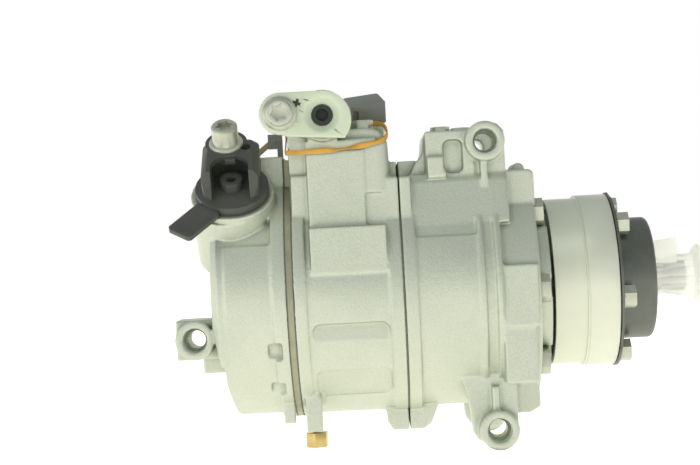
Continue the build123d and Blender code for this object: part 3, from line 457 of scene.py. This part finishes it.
def film_fin():
    """Folded flap of the film that stands up beside the sleeve: a thin bent sheet with two faces."""
    columns, rows = 9, 12
    half_t = 0.28
    faces = []
    for side in (1.0, -1.0):
        sheet = []
        for i in range(columns):
            u = i / (columns - 1)
            for j in range(rows):
                v = j / (rows - 1)
                x = 0.5 + 13.2 * u + 0.5 * math.sin(2.6 * v)
                z = 7.6 + (10.4 + 1.8 * u) * v - 1.6 * u * (1.0 - v)
                y = -7.6 + 1.5 * math.sin(3.0 * u + 1.5 * v) - 1.6 * v * u + 2.2 * v
                sheet.append(Vector((x, y - side * half_t, z)) * MM)
        faces.append(sheet)
    work = bmesh.new()
    fronts = [[work.verts.new(p) for p in sheet] for sheet in faces]
    for index, verts in enumerate(fronts):
        for i in range(columns - 1):
            for j in range(rows - 1):
                a, b = i * rows + j, (i + 1) * rows + j
                quad = [verts[a], verts[b], verts[b + 1], verts[a + 1]]
                work.faces.new(quad if index == 0 else list(reversed(quad)))
    rim = [i * rows for i in range(columns)]
    rim += [(columns - 1) * rows + j for j in range(1, rows)]
    rim += [i * rows + rows - 1 for i in range(columns - 2, -1, -1)]
    rim += [j for j in range(rows - 2, 0, -1)]
    for k, place in enumerate(rim):
        after = rim[(k + 1) % len(rim)]
        work.faces.new((fronts[0][place], fronts[1][place], fronts[1][after], fronts[0][after]))
    bmesh.ops.recalc_face_normals(work, faces=work.faces)
    mesh = bpy.data.meshes.new("film_fin")
    work.to_mesh(mesh)
    work.free()
    return mesh


def join_into(piece, mesh):
    """Adds a mesh's faces to a piece's own mesh."""
    work = bmesh.new()
    work.from_mesh(piece.data)
    work.from_mesh(mesh)
    work.to_mesh(piece.data)
    work.free()
    bpy.data.meshes.remove(mesh)


elastic_band()
film_cap()

for name, node in NODES.items():
    dress(node, SLOT_OF[name])
    node.data.shade_smooth()
    node.data.set_sharp_from_angle(angle=math.radians(35.0))


# ---- camera, floor and lights -------------------------------------------------------------------
ROLL = math.radians(3.05)
YAW = math.radians(0.74)
PITCH = math.radians(-0.088)
EYE = Vector((-141.45, -840.0, 31.62)) * MM
LENS = 83.4
FLOOR_DROP = 108.3 * MM  # how far the floor lies under the eye
FLOOR_AHEAD = 840.0 * MM

up = Vector((math.sin(ROLL), 0.0, math.cos(ROLL)))
right = Vector((math.cos(ROLL), 0.0, -math.sin(ROLL)))
ahead = Vector((0.0, 1.0, 0.0))
turn = Matrix.Rotation(YAW, 3, up) @ Matrix.Rotation(PITCH, 3, right)

camera_data = bpy.data.cameras.new("camera")
camera_data.lens = LENS
camera_data.sensor_width = 36.0
camera_data.clip_start = 0.01
camera = bpy.data.objects.new("camera", camera_data)
axes = Matrix((turn @ right, turn @ up, -(turn @ ahead))).transposed()
camera.matrix_world = Matrix.Translation(EYE) @ axes.to_4x4()
bpy.context.scene.collection.objects.link(camera)
bpy.context.scene.camera = camera


def glowing_white(name, strength, gloss):
    """White surface that shines by itself, like a light table, with a faint gloss."""
    material, _, shader = new_material(name, (0.25, 0.25, 0.25), 0.25)
    shader.inputs["Emission Color"].default_value = (1.0, 0.975, 0.86, 1.0)
    shader.inputs["Emission Strength"].default_value = strength
    shader.inputs["Specular IOR Level"].default_value = gloss
    return material


def floor():
    """Round light table just under the compressor, level with the camera's horizon."""
    work = bmesh.new()
    bmesh.ops.create_circle(work, cap_ends=True, segments=96, radius=6.0)
    mesh = bpy.data.meshes.new("floor")
    work.to_mesh(mesh)
    work.free()
    piece = bpy.data.objects.new("floor", mesh)
    middle = EYE + ahead * FLOOR_AHEAD - up * FLOOR_DROP
    frame_axes = Matrix((right, ahead, up)).transposed()
    piece.matrix_world = Matrix.Translation(middle) @ frame_axes.to_4x4()
    mesh.materials.append(glowing_white("floor_white", 1.02, 0.3))
    bpy.context.scene.collection.objects.link(piece)


def area_light(name, place, target, size, power, colour=(1.0, 1.0, 1.0)):
    """Square soft light aimed at a point."""
    data = bpy.data.lights.new(name, "AREA")
    data.size = size
    data.energy = power
    data.color = colour
    light = bpy.data.objects.new(name, data)
    aim = (Vector(target) - Vector(place)).normalized()
    light.matrix_world = Matrix.Translation(place) @ aim.to_track_quat("-Z", "Y").to_matrix().to_4x4()
    bpy.context.scene.collection.objects.link(light)


def lights():
    """Surround that is white at the horizon and dimmer overhead, with a soft key and a side light."""
    world = bpy.data.worlds.new("studio")
    world.use_nodes = True
    tree = world.node_tree
    place = tree.nodes.new("ShaderNodeTexCoord")
    split = tree.nodes.new("ShaderNodeSeparateXYZ")
    tree.links.new(place.outputs["Generated"], split.inputs["Vector"])
    sky = ramp(tree, split.outputs["Z"], [(0.24, (1.0, 1.0, 1.0)), (0.55, (0.40, 0.42, 0.41))])
    side = ramp(tree, split.outputs["X"], [(0.3, (1.0, 1.0, 1.0)), (0.9, (0.7, 0.7, 0.7))])
    turned = tree.nodes.new("ShaderNodeMath")
    turned.operation = "ADD"
    turned.inputs[1].default_value = 1.0
    tree.links.new(split.outputs["Y"], turned.inputs[0])
    front = ramp(tree, turned.outputs["Value"], [(0.3, (0.72, 0.73, 0.73)), (0.95, (1.0, 1.0, 1.0))])
    background = tree.nodes["Background"]
    tree.links.new(multiply(tree, multiply(tree, sky, side), front), background.inputs["Color"])
    background.inputs["Strength"].default_value = 1.0
    bpy.context.scene.world = world
    middle = (-0.15, 0.0, 0.0)
    area_light("key", (-0.6, -0.8, 1.1), middle, 0.7, 1.2, (1.0, 1.0, 0.98))
    area_light("side", (-1.1, -0.7, 0.1), middle, 0.5, 0.8)


floor()
lights()
bpy.context.scene.view_settings.view_transform = "Standard"
